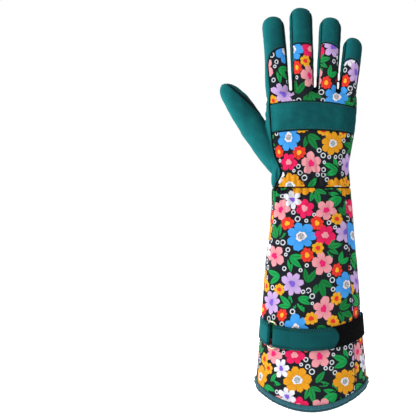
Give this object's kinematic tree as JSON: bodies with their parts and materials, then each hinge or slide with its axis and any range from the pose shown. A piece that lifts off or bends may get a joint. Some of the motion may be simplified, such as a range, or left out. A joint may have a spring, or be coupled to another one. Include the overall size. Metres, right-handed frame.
{
  "type": "pruning gauntlet",
  "caption": "Long suede-palmed glove for the right hand with a printed back, a wide forearm cuff, touch fingertips, palm pads and a strap through a metal ring.",
  "frame": {"origin": "the middle of the cuff's mouth, level with the lowest point of the hem, where the forearm goes in", "axes": "+Z from the mouth to the fingertips, -Y out of the back of the hand, -X to the thumb"},
  "size_m": [0.1604, 0.091, 0.4223],
  "materials": {
    "suede": "matt brushed synthetic suede, teal",
    "touch_cloth": "smooth black conductive cloth",
    "printed_cloth": "matt cotton printed with small flowers on charcoal",
    "binding": "teal woven binding tape",
    "loop_tape": "black loop tape with a short pile",
    "metal": "polished wire"
  },
  "bodies": {
    "root": {"palm_panel": "suede", "thumb_side_panel": "suede", "back_panel": "printed_cloth", "finger_back_panel": "printed_cloth", "knuckle_band": "suede", "fork_strip_index": "suede", "fork_strip_middle": "suede", "fork_strip_ring": "suede", "tip_cap_middle": "suede", "tip_cap_ring": "suede", "tip_cap_little": "suede", "touch_patch_thumb": "touch_cloth", "touch_patch_index": "touch_cloth", "touch_patch_middle": "touch_cloth", "tip_patch_ring": "suede", "tip_patch_little": "suede", "palm_pad_upper": "suede", "palm_pad_middle": "suede", "palm_pad_outer": "suede", "palm_pad_heel": "suede", "cuff_sleeve": "printed_cloth", "hem_binding": "binding", "strap_loop_side": "loop_tape", "strap_tongue": "suede", "strap_tab": "suede", "strap_ring": "metal"}
  },
  "joints": []
}
